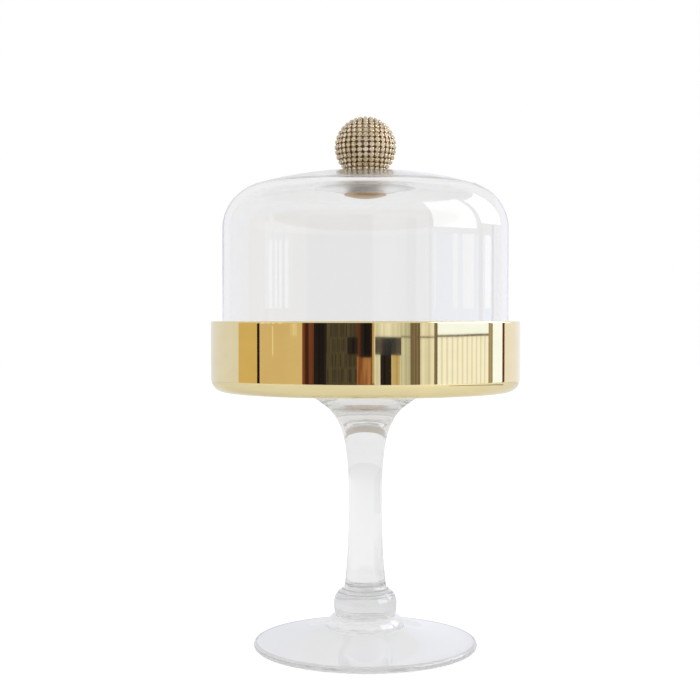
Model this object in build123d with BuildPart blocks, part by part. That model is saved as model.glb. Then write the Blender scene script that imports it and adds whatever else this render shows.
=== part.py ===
"""Footed glass cake stand with a gold-mirrored dish, a loose glass dome and a rhinestone ball knob.

Units are millimetres, +Z is up, and the origin is the centre of the foot's base on the table.
The stand is three pieces of glass, foot, stem and dish, joined by two thin bonds. The lid is the
dome with its knob: a ball wound with rings of cup chain, held by a stud through a hole in the glass
and a domed thumb nut underneath. The lid lifts straight up out of the dish.
"""

import os
from math import acos, atan2, cos, pi, radians, sin, sqrt

from build123d import *

# ---- Driving sizes -------------------------------------------------------------------------
# Stand
STAND_HEIGHT = 159.0  # table to the dish's rim
BOND = 0.15  # thickness of each clear bond
# Foot
FOOT_DIAMETER = 109.0
FOOT_RIM = 3.2  # thickness of the rounded rim
FOOT_KICK = 2.4  # how far the underside is hollowed at its centre
FOOT_RING = 6.0  # width of the flat ring that stands on the table
FOOT_HEIGHT = 15.6  # top of the foot's collar, where the stem stands
COLLAR_DIAMETER = 38.0
COLLAR_HEIGHT = 5.6
# Stem
NECK_DIAMETER = 29.4  # where foot and stem meet
KNOP_DIAMETER = 30.8
KNOP_HEIGHT = 13.0
STEM_ROOT_DIAMETER = 20.0  # just above the knop
STEM_WAIST_DIAMETER = 16.6
STEM_THROAT_DIAMETER = 20.4  # where the flare begins
FLARE_HEIGHT = 24.0
FLARE_DIAMETER = 68.0
# Dish
DISH_DIAMETER = 150.0
DISH_HEIGHT = 34.0
DISH_WALL = 3.0
DISH_FLOOR = 4.5
DISH_CORNER = 6.5  # outside radius where wall meets base
DISH_INNER_CORNER = 3.5
DISH_LIP = 1.2  # rounding of the rim
# Dome
DOME_CLEARANCE = 2.65  # radial gap between dome and dish wall
DOME_WALL = 3.0
DOME_HEIGHT = 102.4  # rim to the top of the crown's curve
DOME_SHOULDER = 22.0  # outside radius of the shoulder
CROWN_RADIUS = 200.0  # outside radius of the crown
RIM_ROUND = 1.2  # rounding of the dome's rim
REST_GAP = 0.1  # between the dome's rim and the dish's floor
# Knob seat in the crown
DIMPLE_DIAMETER = 38.0
SEAT_DEPTH = 3.65  # seat below the top of the crown's curve
SEAT_DIAMETER = 18.0
PAD_THICKNESS = 4.1  # glass at the seat
PAD_DIAMETER = 24.0
PAD_BLEND = 50.0  # diameter where the pad runs out into the crown
# Knob fixing
STUD_DIAMETER = 4.0
STUD_CHAMFER = 0.4
THREAD_CLEARANCE = 0.05
HOLE_CLEARANCE = 0.1
SLIP_CLEARANCE = 0.15  # soft parts over metal ones
END_CLEARANCE = 0.5  # past the ends of the stud and the nut's hub
GROMMET_FLANGE = 14.0
GROMMET_WALL = 1.75
WASHER = 1.0  # thickness of both soft washers
SLEEVE_LENGTH = 3.0
LOWER_WASHER_DIAMETER = 18.0
NUT_DIAMETER = 20.7
NUT_RIM = 0.8
NUT_DEPTH = 3.0  # rim's upper face to the lowest point
NUT_HUB_DIAMETER = 6.0
NUT_SKIN = 1.0  # metal under the blind thread
KNURL_NOTCHES = 48
KNURL_RADIUS = 0.28
INSERT_DIAMETER = 7.0
INSERT_LENGTH = 11.0
# Knob ball and its cup chain
KNOB_DIAMETER = 30.0  # over the stones
ROW_ANGLE = 10.0  # degrees between rings of chain, which sets the size of cups and stones
ROW_GAP = 0.11  # between the cups of neighbouring rings, at their mouths
CHAIN_GAP = 0.42  # least space between cups along a ring
LOWEST_ROW = -60.0  # latitude of the last ring
BELT_LATITUDE = 20.0  # rings this near the girdle share one count, so their cups line up
COLLAR_CLEARANCE = 0.1  # between the ball's collar and the last ring
STONE_CROWN = 0.85  # girdle to table
STONE_TABLE = 1.2
STONE_PAVILION = 1.15  # girdle to culet
STONE_CULET = 0.5
STONE_CLEARANCE = 0.03
CUP_WALL = 0.1
CUP_LIP = 0.15  # how far the cup's mouth stands above the girdle
CUP_BASE = 0.2
CUP_TAPER = 0.25  # radius lost from mouth to base
GLUE = 0.02  # film between the ball and its cups, and round the insert

# ---- Derived places ------------------------------------------------------------------------
dish_r = DISH_DIAMETER / 2
dish_base_z = STAND_HEIGHT - DISH_HEIGHT
floor_z = dish_base_z + DISH_FLOOR
stem_base_z = FOOT_HEIGHT + BOND
stem_top_z = dish_base_z - BOND
knop_top_z = stem_base_z + KNOP_HEIGHT

dome_r = dish_r - DISH_WALL - DOME_CLEARANCE
rim_z = floor_z + REST_GAP
apex_z = rim_z + DOME_HEIGHT
crown_centre_z = apex_z - CROWN_RADIUS
shoulder_r = dome_r - DOME_SHOULDER  # centre of the shoulder's arc
shoulder_z = crown_centre_z + sqrt((CROWN_RADIUS - DOME_SHOULDER) ** 2 - shoulder_r**2)
shoulder_angle = atan2(shoulder_z - crown_centre_z, shoulder_r)

seat_z = apex_z - SEAT_DEPTH
pad_z = seat_z - PAD_THICKNESS
nut_top_z = pad_z - WASHER
nut_hub_r = NUT_HUB_DIAMETER / 2
grommet_bore_r = STUD_DIAMETER / 2 + SLIP_CLEARANCE
grommet_sleeve_r = grommet_bore_r + GROMMET_WALL
hole_r = grommet_sleeve_r + HOLE_CLEARANCE
thread_bore_r = STUD_DIAMETER / 2 + THREAD_CLEARANCE
thread_floor_z = nut_top_z - NUT_DEPTH + NUT_SKIN
sleeve_low_z = seat_z - SLEEVE_LENGTH
nut_hub_top_z = sleeve_low_z - END_CLEARANCE
knob_base_z = seat_z + WASHER
insert_top_z = knob_base_z + INSERT_LENGTH
stud_base_z = thread_floor_z + END_CLEARANCE
stud_top_z = insert_top_z - END_CLEARANCE

knob_r = KNOB_DIAMETER / 2
knob_centre_z = seat_z + knob_r
girdle_level = knob_r - STONE_CROWN  # these levels are distances from the ball's centre
mouth_level = girdle_level + CUP_LIP
cup_base_level = girdle_level - STONE_PAVILION - STONE_CLEARANCE - CUP_BASE
core_r = cup_base_level - GLUE
cup_r = (mouth_level * radians(ROW_ANGLE) - ROW_GAP) / 2
pocket_r = cup_r - CUP_WALL
stone_r = pocket_r - STONE_CLEARANCE
last_ring_r = cup_base_level * cos(radians(LOWEST_ROW)) - cup_r * sin(radians(-LOWEST_ROW))
core_collar_r = last_ring_r - COLLAR_CLEARANCE


def arc_point(centre_r, centre_z, radius, angle):
    """A point (r, z) on an arc about (centre_r, centre_z); the angle is in radians from +r."""
    return (centre_r + radius * cos(angle), centre_z + radius * sin(angle))


def crown_point(at_r, depth):
    """The point at radius at_r on the crown, depth inside its outer surface."""
    radius = CROWN_RADIUS - depth
    return (at_r, crown_centre_z + sqrt(radius**2 - at_r**2))


def crown_tangent(at_r, depth):
    """The crown's direction at radius at_r, pointing to the axis."""
    angle = acos(at_r / (CROWN_RADIUS - depth))
    return (-sin(angle), cos(angle))


def save(builder, name):
    """Labels a finished piece and writes it as parts/name.step."""
    builder.part.label = name
    export_step(builder.part, f"parts/{name}.step")


# ---- Stand ---------------------------------------------------------------------------------
def make_foot():
    """Pressed foot: a shallow disc that rises to a rounded collar under the stem."""
    foot_r = FOOT_DIAMETER / 2
    half_rim = FOOT_RIM / 2
    ring_inner_r = foot_r - half_rim - FOOT_RING
    collar_r = COLLAR_DIAMETER / 2
    collar_z = FOOT_HEIGHT - COLLAR_HEIGHT
    neck_r = NECK_DIAMETER / 2
    rim_top = (foot_r - half_rim, FOOT_RIM)
    collar_foot = (collar_r, collar_z)
    with BuildPart() as foot:
        with BuildSketch(Plane.XZ):
            with BuildLine():
                TangentArc((0, FOOT_KICK), (ring_inner_r, 0), tangent=(1, 0))
                Line((ring_inner_r, 0), (foot_r - half_rim, 0))
                ThreePointArc((foot_r - half_rim, 0), (foot_r, half_rim), rim_top)
                Spline(rim_top, collar_foot, tangents=[(-1, 0.1), (-1, 0.42)])
                Spline(collar_foot, (neck_r, FOOT_HEIGHT), tangents=[(0.1, 1), (-1, 0)])
                Line((neck_r, FOOT_HEIGHT), (0, FOOT_HEIGHT))
                Line((0, FOOT_HEIGHT), (0, FOOT_KICK))
            make_face()
        revolve(axis=Axis.Z)
    save(foot, "foot")


def make_stem():
    """Solid drawn stem: a knop at the bottom, a slim waist and a wide flare under the dish."""
    neck_r = NECK_DIAMETER / 2
    knop_r = KNOP_DIAMETER / 2
    root_r = STEM_ROOT_DIAMETER / 2
    throat_z = stem_top_z - FLARE_HEIGHT
    waist_z = knop_top_z + (throat_z - knop_top_z) * 0.48
    neck = (neck_r, stem_base_z)
    knop_side = (knop_r, stem_base_z + KNOP_HEIGHT * 0.42)
    knop_top = (root_r + 0.9, knop_top_z)
    root = (root_r, knop_top_z + 2.6)
    throat = (STEM_THROAT_DIAMETER / 2, throat_z)
    flare_edge = (FLARE_DIAMETER / 2, stem_top_z)
    flare_mid = (throat[0] + (flare_edge[0] - throat[0]) * 0.39, stem_top_z - FLARE_HEIGHT * 0.3)
    with BuildPart() as stem:
        with BuildSketch(Plane.XZ):
            with BuildLine():
                Line((0, stem_base_z), neck)
                Spline(neck, knop_side, knop_top, tangents=[(0.3, 1), (-0.75, 0.65)])
                Spline(knop_top, root, tangents=[(-0.75, 0.65), (-0.12, 1)])
                Spline(
                    root,
                    (STEM_WAIST_DIAMETER / 2, waist_z),
                    throat,
                    tangents=[(-0.12, 1), (0.2, 1)],
                )
                Spline(throat, flare_mid, flare_edge, tangents=[(0.2, 1), (1, 0.12)])
                Line(flare_edge, (0, stem_top_z))
                Line((0, stem_top_z), (0, stem_base_z))
            make_face()
        revolve(axis=Axis.Z)
    save(stem, "stem")


def make_bonds():
    """The clear cured bonds between foot and stem, and between stem and dish."""
    for name, diameter, z in (
        ("foot_bond", NECK_DIAMETER, FOOT_HEIGHT),
        ("dish_bond", FLARE_DIAMETER, stem_top_z),
    ):
        with BuildPart() as bond:
            with BuildSketch(Plane.XY.offset(z)):
                Circle(diameter / 2 - BOND)
            extrude(amount=BOND)
        save(bond, name)


def make_dish():
    """Straight-sided dish with a rounded lower corner, mirrored in gold on the outside."""
    with BuildPart() as dish:
        with BuildSketch(Plane.XY.offset(dish_base_z)):
            Circle(dish_r)
        extrude(amount=DISH_HEIGHT)
        fillet(dish.edges().group_by(Axis.Z)[0], DISH_CORNER)
        with BuildSketch(Plane.XY.offset(floor_z)):
            Circle(dish_r - DISH_WALL)
        extrude(amount=DISH_HEIGHT, mode=Mode.SUBTRACT)
        floor = dish.faces().filter_by(Plane.XY).sort_by(Axis.Z)[1]
        fillet(floor.edges(), DISH_INNER_CORNER)
        fillet(dish.edges().group_by(Axis.Z)[-1], DISH_LIP)
    save(dish, "dish")


# ---- Dome ----------------------------------------------------------------------------------
def dome_side(depth):
    """The wall, shoulder and crown at a depth inside the outer surface, from rim to crown."""
    wall_r = dome_r - depth
    radius = DOME_SHOULDER - depth
    bend = arc_point(shoulder_r, shoulder_z, radius, shoulder_angle / 2)
    return (
        (wall_r, rim_z),
        (wall_r, shoulder_z),
        bend,
        arc_point(shoulder_r, shoulder_z, radius, shoulder_angle),
    )


def crown_arc(start, end_r, depth):
    """The crown's arc at a depth, from the shoulder to radius end_r."""
    start_angle = shoulder_angle
    end = crown_point(end_r, depth)
    end_angle = atan2(end[1] - crown_centre_z, end[0])
    middle = arc_point(0, crown_centre_z, CROWN_RADIUS - depth, (start_angle + end_angle) / 2)
    ThreePointArc(start, middle, end)
    return end


def make_dome():
    """Blown dome: upright wall, rounded shoulder, and a thick dimpled pad with the knob's hole."""
    outer_rim, outer_top, outer_bend, outer_end = dome_side(0)
    inner_rim, inner_top, inner_bend, inner_end = dome_side(DOME_WALL)
    with BuildPart() as dome:
        with BuildSketch(Plane.XZ):
            with BuildLine():
                Line(inner_rim, outer_rim)
                Line(outer_rim, outer_top)
                ThreePointArc(outer_top, outer_bend, outer_end)
                lip = crown_arc(outer_end, DIMPLE_DIAMETER / 2, 0)
                seat_edge = (SEAT_DIAMETER / 2, seat_z)
                lip_way = crown_tangent(lip[0], 0)
                Spline(lip, seat_edge, tangents=[lip_way, (-1, 0)], tangent_scalars=[1, 1])
                Line(seat_edge, (hole_r, seat_z))
                Line((hole_r, seat_z), (hole_r, pad_z))
                pad_edge = (PAD_DIAMETER / 2, pad_z)
                Line((hole_r, pad_z), pad_edge)
                run_out = crown_point(PAD_BLEND / 2, DOME_WALL)
                way_in = crown_tangent(run_out[0], DOME_WALL)
                way_out = (-way_in[0], -way_in[1])
                Spline(pad_edge, run_out, tangents=[(1, 0), way_out], tangent_scalars=[1, 1])
                crown_arc(inner_end, PAD_BLEND / 2, DOME_WALL)
                ThreePointArc(inner_end, inner_bend, inner_top)
                Line(inner_top, inner_rim)
            make_face()
        revolve(axis=Axis.Z)
        fillet(dome.edges().group_by(Axis.Z)[0], RIM_ROUND)
    save(dome, "dome")


# ---- Knob fixing ---------------------------------------------------------------------------
def make_fixing():
    """Grommet, washer, thumb nut, stud and threaded insert, on the dome's axis."""
    with BuildPart() as grommet:
        with BuildSketch(Plane.XY.offset(seat_z)):
            Circle(GROMMET_FLANGE / 2)
        extrude(amount=WASHER)
        with BuildSketch(Plane.XY.offset(sleeve_low_z)):
            Circle(grommet_sleeve_r)
        extrude(amount=SLEEVE_LENGTH)
        with BuildSketch(Plane.XY.offset(sleeve_low_z)):
            Circle(grommet_bore_r)
        extrude(amount=SLEEVE_LENGTH + WASHER, mode=Mode.SUBTRACT)
    save(grommet, "knob_grommet")

    with BuildPart() as washer:
        with BuildSketch(Plane.XY.offset(nut_top_z)):
            Circle(LOWER_WASHER_DIAMETER / 2)
            Circle(nut_hub_r + SLIP_CLEARANCE, mode=Mode.SUBTRACT)
        extrude(amount=WASHER)
    save(washer, "lower_washer")

    nut_r = NUT_DIAMETER / 2
    rim_low_z = nut_top_z - NUT_RIM
    nut_low_z = nut_top_z - NUT_DEPTH
    with BuildPart() as nut:
        with BuildSketch(Plane.XZ):
            with BuildLine():
                TangentArc((0, nut_low_z), (nut_r, rim_low_z), tangent=(1, 0))
                Polyline(
                    (nut_r, rim_low_z),
                    (nut_r, nut_top_z),
                    (nut_hub_r, nut_top_z),
                    (nut_hub_r, nut_hub_top_z),
                    (0, nut_hub_top_z),
                    (0, nut_low_z),
                )
            make_face()
        revolve(axis=Axis.Z)
        with BuildSketch(Plane.XY.offset(thread_floor_z)):
            Circle(thread_bore_r)
        extrude(amount=nut_hub_top_z - thread_floor_z, mode=Mode.SUBTRACT)
        with BuildSketch(Plane.XY.offset(nut_low_z)):
            with PolarLocations(nut_r, KNURL_NOTCHES):
                Circle(KNURL_RADIUS)
        extrude(amount=NUT_DEPTH, mode=Mode.SUBTRACT)
    save(nut, "thumb_nut")

    with BuildPart() as stud:
        with BuildSketch(Plane.XY.offset(stud_base_z)):
            Circle(STUD_DIAMETER / 2)
        extrude(amount=stud_top_z - stud_base_z)
        chamfer(stud.edges(), STUD_CHAMFER)
    save(stud, "knob_stud")

    with BuildPart() as insert:
        with BuildSketch(Plane.XY.offset(knob_base_z)):
            Circle(INSERT_DIAMETER / 2)
            Circle(thread_bore_r, mode=Mode.SUBTRACT)
        extrude(amount=INSERT_LENGTH)
    save(insert, "knob_insert")


def make_core():
    """The ball that carries the chain, with a turned collar at its base and a blind hole."""
    with BuildPart() as core:
        with Locations((0, 0, knob_centre_z)):
            Sphere(core_r)
        with BuildSketch(Plane.XY.offset(knob_base_z)):
            Circle(core_collar_r)
        extrude(amount=knob_centre_z - knob_base_z)
        with BuildSketch(Plane.XY.offset(knob_base_z)):
            Circle(INSERT_DIAMETER / 2 + GLUE)
        extrude(amount=INSERT_LENGTH + END_CLEARANCE, mode=Mode.SUBTRACT)
    save(core, "knob_core")


# ---- Cup chain -----------------------------------------------------------------------------
def make_cup():
    """One brass cup, standing on z = 0, tapered towards its base, with a conical pocket."""
    depth = mouth_level - cup_base_level
    pocket_low = STONE_CULET / 2 + STONE_CLEARANCE
    girdle = girdle_level - cup_base_level
    with BuildPart() as cup:
        with BuildSketch(Plane.XZ):
            with BuildLine():
                Polyline(
                    (0, 0),
                    (cup_r - CUP_TAPER, 0),
                    (cup_r, depth),
                    (pocket_r, depth),
                    (pocket_r, girdle - STONE_CLEARANCE),
                    (pocket_low, CUP_BASE),
                    (0, CUP_BASE),
                    close=True,
                )
            make_face()
        revolve(axis=Axis.Z)
    return cup.part


def make_stone():
    """One cut stone in its place over a cup that stands on z = 0: pavilion, girdle and crown."""
    girdle = girdle_level - cup_base_level
    with BuildPart() as stone:
        with BuildSketch(Plane.XZ):
            with BuildLine():
                Polyline(
                    (0, girdle - STONE_PAVILION),
                    (STONE_CULET / 2, girdle - STONE_PAVILION),
                    (stone_r, girdle),
                    (STONE_TABLE / 2, girdle + STONE_CROWN),
                    (0, girdle + STONE_CROWN),
                    close=True,
                )
            make_face()
        revolve(axis=Axis.Z)
    return stone.part


def ring_places(latitude, level):
    """Locations round one ring, each with +Z pointing away from the ball's centre."""
    counted_r = mouth_level * cos(radians(max(abs(latitude), BELT_LATITUDE)))
    count = max(1, int(2 * pi * counted_r / (2 * cup_r + CHAIN_GAP)))
    places = []
    for i in range(count):
        turn = 2 * pi * i / count - pi / 2
        out = Vector(
            cos(radians(latitude)) * cos(turn),
            cos(radians(latitude)) * sin(turn),
            sin(radians(latitude)),
        )
        along = Vector(-sin(turn), cos(turn), 0)
        origin = Vector(0, 0, knob_centre_z) + out * level
        places.append(Plane(origin=origin, x_dir=along, z_dir=out).location)
    return places


def make_chain():
    """Rings of cup chain from the top of the ball down, each with its row of stones."""
    cup = make_cup()
    stone = make_stone()
    rows = int((90.0 - LOWEST_ROW) / ROW_ANGLE) + 1
    for row in range(rows):
        places = ring_places(90.0 - ROW_ANGLE * row, cup_base_level)
        for name, piece in (("cup_ring", cup), ("stone_ring", stone)):
            with BuildPart() as ring:
                with Locations(*places):
                    add(piece)
            save(ring, f"{name}_{row + 1:02d}")


def main():
    os.makedirs("parts", exist_ok=True)
    make_foot()
    make_stem()
    make_bonds()
    make_dish()
    make_dome()
    make_fixing()
    make_core()
    make_chain()


main()
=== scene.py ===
"""Looks of a footed glass cake stand with a gold-plated dish and a domed lid with a rhinestone knob.

The glass and the dish are turned from outlines, the cup chain and its stones are set round the
ball ring by ring, and the small fixing parts keep their own shapes under new finishes.
"""

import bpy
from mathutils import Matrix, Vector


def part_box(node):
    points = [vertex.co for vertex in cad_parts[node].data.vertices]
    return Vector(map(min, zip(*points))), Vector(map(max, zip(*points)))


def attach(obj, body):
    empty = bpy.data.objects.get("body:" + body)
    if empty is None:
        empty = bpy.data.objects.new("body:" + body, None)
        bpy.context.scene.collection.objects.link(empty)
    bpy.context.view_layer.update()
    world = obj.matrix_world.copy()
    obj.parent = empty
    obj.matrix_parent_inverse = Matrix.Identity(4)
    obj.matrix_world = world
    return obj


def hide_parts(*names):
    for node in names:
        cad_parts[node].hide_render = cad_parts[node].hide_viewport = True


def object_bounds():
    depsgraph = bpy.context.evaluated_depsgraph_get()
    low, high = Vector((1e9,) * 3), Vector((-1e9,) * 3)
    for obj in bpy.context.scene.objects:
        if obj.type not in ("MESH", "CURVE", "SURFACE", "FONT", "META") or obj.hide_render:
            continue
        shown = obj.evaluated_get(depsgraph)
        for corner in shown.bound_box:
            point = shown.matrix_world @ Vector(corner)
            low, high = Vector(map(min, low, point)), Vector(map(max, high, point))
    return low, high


bl_info = {
    "name": "Cake Stand Dome",
    "version": (1, 0, 0),
    "blender": (4, 5, 0),
    "location": "View3D > Sidebar > Cake Stand",
    "description": "Models and finishes a glass cake stand, its dome and the studio round it",
    "category": "Object",
}

from math import acos, asin, atan2, cos, pi, radians, sin, sqrt, tau

import bmesh
import bpy
from bpy.props import FloatProperty, FloatVectorProperty, IntProperty, PointerProperty
from mathutils import Matrix, Vector
from mathutils.geometry import interpolate_bezier

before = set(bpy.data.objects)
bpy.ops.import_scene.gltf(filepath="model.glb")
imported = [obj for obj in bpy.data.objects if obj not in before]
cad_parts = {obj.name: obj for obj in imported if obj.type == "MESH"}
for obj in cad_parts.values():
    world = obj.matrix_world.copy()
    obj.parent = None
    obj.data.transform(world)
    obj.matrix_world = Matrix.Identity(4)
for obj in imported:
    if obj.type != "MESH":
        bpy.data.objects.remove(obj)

CAD_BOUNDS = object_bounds()
STAND = "stand"
LID = "lid"
MM = 0.001
MERGE = 1e-7  # metres, for the doubles that a spin leaves at a pole
NEAR = 1e-6  # metres, within which a point lies on a level or a radius
HOLD = 0.1 * MM  # from the end of a straight run to the point that holds its shading
GOLDEN_ANGLE = radians(137.5)  # turns neighbouring stones unlike each other
CUP_FLOOR = 0.2 * MM
LINK_WIDTH = 0.4 * MM
LINK_THICKNESS = 0.18 * MM
LINK_LIFT = 0.1 * MM  # from the cups' base to the middle of a link
SHARP = radians(35)  # edges that turn by more than this stay sharp

FOOT_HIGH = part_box("foot")[1]
STEM_LOW, STEM_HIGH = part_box("stem")
DISH_LOW, DISH_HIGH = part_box("dish")
DOME_LOW, DOME_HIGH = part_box("dome")
BALL_LOW, BALL_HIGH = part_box("stone_ring_10")
WASHER_LOW, WASHER_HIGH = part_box("lower_washer")
PAD_Z = WASHER_HIGH.z
FLANGE = WASHER_HIGH.z - WASHER_LOW.z  # the grommet's flange is as thick as the washer
SEAT_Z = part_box("knob_grommet")[1].z - FLANGE


# ---- Settings ------------------------------------------------------------------------------
def length(name, description, millimetres):
    """A size in metres that the sidebar shows in the scene's units."""
    return FloatProperty(
        name=name,
        description=description,
        default=millimetres * MM,
        min=0.0,
        precision=4,
        subtype="DISTANCE",
        unit="LENGTH",
    )


def angle(name, description, turn):
    """An angle, given in degrees."""
    return FloatProperty(
        name=name, description=description, default=radians(turn), subtype="ANGLE", unit="ROTATION"
    )


def colour(name, description, value):
    """A linear colour."""
    return FloatVectorProperty(
        name=name,
        description=description,
        default=value,
        size=3,
        min=0.0,
        max=1.0,
        subtype="COLOR",
    )


def amount(name, description, value, highest=1.0):
    """A plain number from nought."""
    return FloatProperty(
        name=name, description=description, default=value, min=0.0, max=highest, subtype="FACTOR"
    )


class StandSettings(bpy.types.PropertyGroup):
    """Foot and stem."""

    rim: length("Foot rim", "Thickness of the foot's rounded rim", 3.2)
    kick: length("Kick", "How far the underside is hollowed", 2.4)
    ring: length("Resting ring", "Width of the flat ring on the table", 6.0)
    collar: length("Collar", "Radius of the foot's collar", 19.0)
    collar_height: length("Collar height", "Height of the collar's step", 5.6)
    neck: length("Neck", "Radius where the stem meets the foot", 14.7)
    knop: length("Knop", "Radius of the stem's knop", 15.4)
    knop_height: length("Knop height", "Height of the knop", 13.0)
    groove: length("Groove", "Depth of the ring cut round the knop's shoulder", 0.35)
    root: length("Root", "Stem's radius just above the knop", 10.0)
    waist: length("Waist", "Stem's smallest radius", 8.3)
    throat: length("Throat", "Stem's radius where the flare begins", 10.2)
    flare_height: length("Flare height", "Height of the flare under the dish", 24.0)
    joint_core: length("Joint core", "Radius of the darker disc in the joint", 7.0)
    # The dark line round the lower joint is painted shade along the joint's groove.
    joint_shade_ring: length("Joint edge", "Width of the dark line round the lower joint", 0.9)
    foot_tint: colour("Foot glass", "Tint of the foot", (0.93, 0.93, 0.935))
    stem_tint: colour("Stem glass", "Tint of the stem", (0.88, 0.88, 0.885))
    steps: IntProperty(name="Steps", description="Steps round a turned piece", default=192, min=24)


class DishSettings(bpy.types.PropertyGroup):
    """The plated dish."""

    wall: length("Wall", "Thickness of the dish's wall", 3.0)
    floor: length("Floor", "Thickness of the dish's floor", 4.5)
    corner: length("Corner", "Outside radius of the lower corner", 6.5)
    inner_corner: length("Inner corner", "Inside radius of the lower corner", 3.5)
    lip: length("Lip", "Rounding of the rim", 0.8)
    gold: colour("Gold", "Colour of the plating", (0.83, 0.71, 0.4))
    underside: colour("Underside", "Duller plating under the dish", (0.6, 0.55, 0.48))


class DomeSettings(bpy.types.PropertyGroup):
    """The dome's glass."""

    wall: length("Wall", "Thickness of the glass", 3.0)
    shoulder: length("Shoulder", "Outside radius of the shoulder", 22.0)
    crown: length("Crown", "Outside radius of the crown's curve", 200.0)
    height: length("Height", "Rim to the top of the crown's curve", 102.4)
    rim_round: length("Rim rounding", "Rounding of the rim", 1.2)
    dimple: length("Dimple", "Radius of the dip that the knob sits in", 17.0)
    seat: length("Seat", "Radius of the flat under the knob", 9.0)
    hole: length("Hole", "Radius of the hole for the stud", 4.0)
    pad: length("Pad", "Radius of the thick pad inside", 12.0)
    pad_blend: length("Pad blend", "Radius where the pad runs out", 25.0)
    soft_crown: length("Soft crown", "Radius of the less polished middle of the crown", 52.0)
    glass: colour("Glass", "Tint of the dome", (0.945, 0.945, 0.947))


class KnobSettings(bpy.types.PropertyGroup):
    """Cup chain, stones and the ball."""

    row_angle: angle("Row angle", "Angle between rings of chain", 10.0)
    lowest_row: angle("Lowest row", "Latitude of the last ring, below the girdle", 60.0)
    belt: angle("Belt", "Rings within this latitude share one count", 20.0)
    row_gap: length("Row gap", "Between the cups of neighbouring rings", 0.11)
    chain_gap: length("Chain gap", "Least space between cups along a ring", 0.42)
    cup_wall: length("Cup wall", "Thickness of a cup", 0.06)
    cup_lip: length("Cup lip", "Cup's mouth above the stone's girdle", 0.15)
    cup_depth: length("Cup depth", "Cup's mouth down to its base", 1.53)
    cup_taper: length("Cup taper", "Radius lost from mouth to base", 0.25)
    claw: length("Claw", "Height of the claws over the mouth", 0.26)
    stone_crown: length("Stone crown", "Girdle to table", 0.85)
    stone_table: length("Stone table", "Radius of the table", 0.6)
    stone_pavilion: length("Stone pavilion", "Girdle to culet", 1.15)
    stone_culet: length("Stone culet", "Radius of the culet", 0.25)
    clearance: length("Clearance", "Between a stone and its cup", 0.01)
    metal: colour("Chain", "Colour of the cups", (0.93, 0.75, 0.53))
    crystal: colour("Crystal", "Tint of the stones", (1.0, 0.985, 0.965))
    foil: colour("Foil", "Colour behind the stones", (1.0, 0.94, 0.82))
    ball: colour("Ball", "Colour of the ball between the cups", (0.17, 0.085, 0.036))


class StageSettings(bpy.types.PropertyGroup):
    """Camera, light and the room that the plating mirrors."""

    lens: FloatProperty(
        name="Lens", description="Focal length", default=68.9, min=10.0, unit="CAMERA"
    )
    distance: length("Distance", "Camera to the stem's axis", 653.7)
    side_step: length("Side step", "How far the camera stands to the left", 7.5)
    tilt: angle("Tilt", "How far the camera looks down", 1.26)
    room: length("Room", "Radius at which the room's surfaces stand", 1200.0)
    backdrop: amount("Backdrop", "White that glass shows behind it", 0.93, 2.0)
    dim: amount("Dim side", "What glass shows on the camera's side", 0.78, 2.0)
    mirrored: amount("Mirrored white", "White that the plating mirrors", 0.84, 2.0)
    ambient: amount("Ambient", "Plain light from all round", 0.8, 2.0)


# ---- Turning and finishing meshes ----------------------------------------------------------
def points_in(geometry):
    """The points among what a bmesh operator made."""
    return [part for part in geometry if isinstance(part, bmesh.types.BMVert)]


def lift(bm, points, height):
    """Moves points up along Z."""
    bmesh.ops.translate(bm, verts=points, vec=(0.0, 0.0, height))


def widen(bm, points, factor):
    """Moves points out from Z, or in when the factor is under one."""
    bmesh.ops.scale(bm, verts=points, vec=(factor, factor, 1.0))


class Outline:
    """A turned piece's outline, drawn point to point in the XZ plane and spun round Z."""

    def __init__(self, r, z):
        self.bm = bmesh.new()
        self.tip = self.bm.verts.new((r, 0.0, z))

    def step(self, r, z):
        """A short straight step to (r, z)."""
        self.tip = bmesh.ops.extrude_vert_indiv(self.bm, verts=[self.tip])["verts"][0]
        self.tip.co = (r, 0.0, z)

    def line(self, r, z):
        """A straight run to (r, z). A point close to each end keeps its shading flat."""
        start = self.tip.co.copy()
        end = Vector((r, 0.0, z))
        hold = (end - start).normalized() * HOLD
        if (end - start).length > 4 * HOLD:
            for point in (start + hold, end - hold):
                self.step(point.x, point.z)
        self.step(r, z)

    def arc(self, r, z, turn, steps=12):
        """Round a centre at (r, z). A positive turn goes from +Z towards +X."""
        swept = bmesh.ops.spin(
            self.bm, geom=[self.tip], cent=(r, 0.0, z), axis=(0.0, 1.0, 0.0), angle=turn, steps=steps
        )
        self.tip = points_in(swept["geom_last"])[0]

    def bend(self, leaving, arriving, r, z, steps=16):
        """A smooth run to (r, z) that leaves and arrives in the two (r, z) directions."""
        start = self.tip.co.copy()
        end = Vector((r, 0.0, z))
        reach = (end - start).length / 3
        way_out = Vector((leaving[0], 0.0, leaving[1])).normalized() * reach
        way_in = Vector((arriving[0], 0.0, arriving[1])).normalized() * reach
        for point in interpolate_bezier(start, start + way_out, end - way_in, end, steps + 1)[1:]:
            self.step(point.x, point.z)

    def turned(self, steps):
        """Spins the outline right round and returns the bmesh, closed and facing outwards."""
        bm = self.bm
        bmesh.ops.remove_doubles(bm, verts=bm.verts, dist=MERGE)
        bmesh.ops.spin(
            bm,
            geom=bm.verts[:] + bm.edges[:],
            axis=(0.0, 0.0, 1.0),
            angle=tau,
            steps=steps,
            use_merge=True,
        )
        bmesh.ops.remove_doubles(bm, verts=bm.verts, dist=MERGE)
        bmesh.ops.dissolve_degenerate(bm, edges=bm.edges, dist=MERGE)
        bmesh.ops.recalc_face_normals(bm, faces=bm.faces)
        return bm


def set_smooth(bm):
    """Smooths every face, and keeps the sharp edges."""
    for face in bm.faces:
        face.smooth = True
    for edge in bm.edges:
        edge.smooth = len(edge.link_faces) == 2 and edge.calc_face_angle(0.0) < SHARP


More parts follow.
